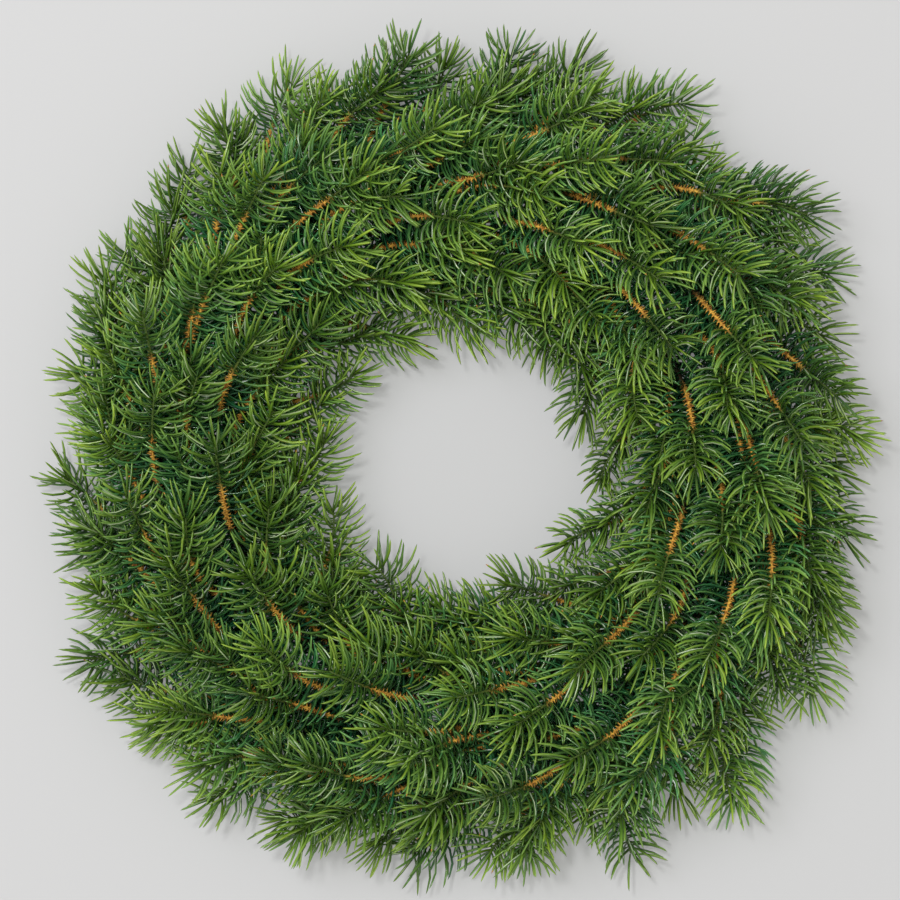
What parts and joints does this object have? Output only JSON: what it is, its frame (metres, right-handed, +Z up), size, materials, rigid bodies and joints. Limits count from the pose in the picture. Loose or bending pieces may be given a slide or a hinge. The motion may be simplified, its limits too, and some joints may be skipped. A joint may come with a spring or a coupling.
{
  "type": "fresh evergreen wreath",
  "caption": "Round wreath of cut spruce sprays bound clockwise onto a double wire ring, lying on its back, 500 mm across.",
  "frame": {"origin": "on the ground under the middle of the wreath", "axes": "+Z up out of the wreath's front face, +Y towards the top of the wreath as it hangs, +X to its right as seen from the front"},
  "size_m": [0.502, 0.4998, 0.099],
  "materials": {
    "foliage": "fresh spruce needles with a slight waxy gloss, yellow green at the tips and bluish green where older",
    "ring_wire": "dark green enamelled steel wire",
    "paddle_wire": "green lacquered florist's wire"
  },
  "bodies": {
    "root": {"wire_ring": "ring_wire", "binding_wire": "paddle_wire", "outer_spray_01": "foliage", "inner_spray_01": "foliage", "outer_spray_02": "foliage", "inner_spray_02": "foliage", "outer_spray_03": "foliage", "inner_spray_03": "foliage", "outer_spray_04": "foliage", "inner_spray_04": "foliage", "outer_spray_05": "foliage", "inner_spray_05": "foliage", "outer_spray_06": "foliage", "inner_spray_06": "foliage", "outer_spray_07": "foliage", "inner_spray_07": "foliage", "outer_spray_08": "foliage", "inner_spray_08": "foliage", "outer_spray_09": "foliage", "inner_spray_09": "foliage", "outer_spray_10": "foliage", "inner_spray_10": "foliage", "outer_spray_11": "foliage", "inner_spray_11": "foliage", "outer_spray_12": "foliage", "inner_spray_12": "foliage", "outer_spray_13": "foliage", "inner_spray_13": "foliage", "outer_spray_14": "foliage", "inner_spray_14": "foliage", "outer_spray_15": "foliage", "inner_spray_15": "foliage", "outer_spray_16": "foliage", "inner_spray_16": "foliage", "outer_spray_17": "foliage", "inner_spray_17": "foliage", "outer_spray_18": "foliage", "inner_spray_18": "foliage", "outer_spray_19": "foliage", "inner_spray_19": "foliage", "outer_spray_20": "foliage", "inner_spray_20": "foliage", "outer_spray_21": "foliage", "inner_spray_21": "foliage", "outer_spray_22": "foliage", "inner_spray_22": "foliage", "outer_spray_23": "foliage", "inner_spray_23": "foliage", "outer_spray_24": "foliage", "inner_spray_24": "foliage"}
  },
  "joints": []
}
